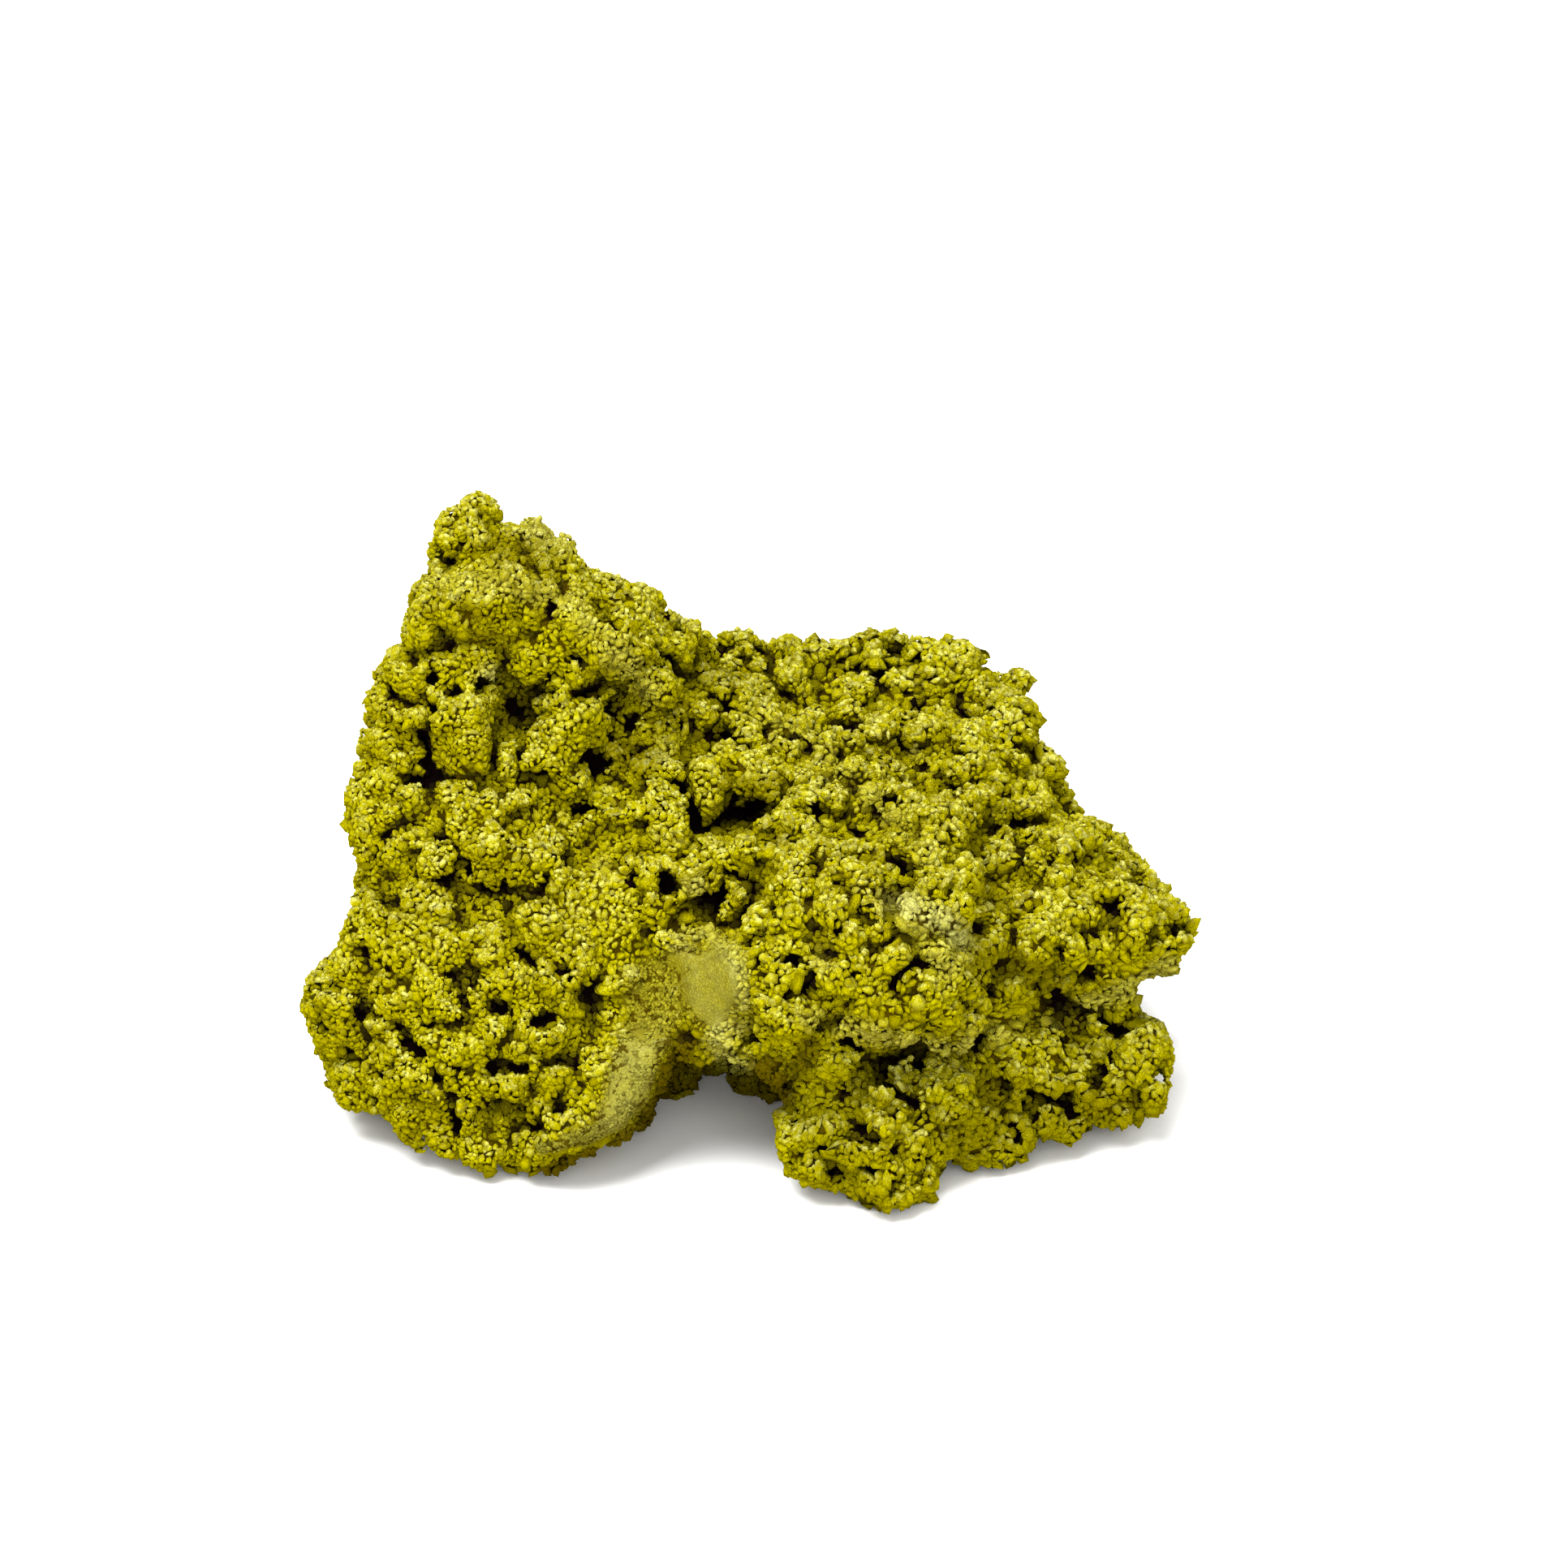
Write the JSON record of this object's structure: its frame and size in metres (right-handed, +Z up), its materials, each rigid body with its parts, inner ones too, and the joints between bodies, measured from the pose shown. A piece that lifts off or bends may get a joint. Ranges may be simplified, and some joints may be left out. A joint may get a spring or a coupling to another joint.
{
  "type": "nontronite specimen",
  "caption": "Porous, granular yellow-green clay mineral specimen: a leaning tower beside a split, low plateau with a blunt knob over an arched hollow, resting on its own feet.",
  "frame": {"origin": "middle of the specimen in plan, on the surface that it rests on", "axes": "+X to the right seen from the display side, +Y away from the display side, +Z up"},
  "size_m": [0.0996, 0.0776, 0.0681],
  "materials": {
    "nontronite": "matt, porous crust of round clay grains about a millimetre across, olive to mustard yellow-green, with near-black pores, paler worn crests and one smooth rubbed patch"
  },
  "bodies": {
    "root": {"nontronite_mass": "nontronite"}
  },
  "joints": []
}
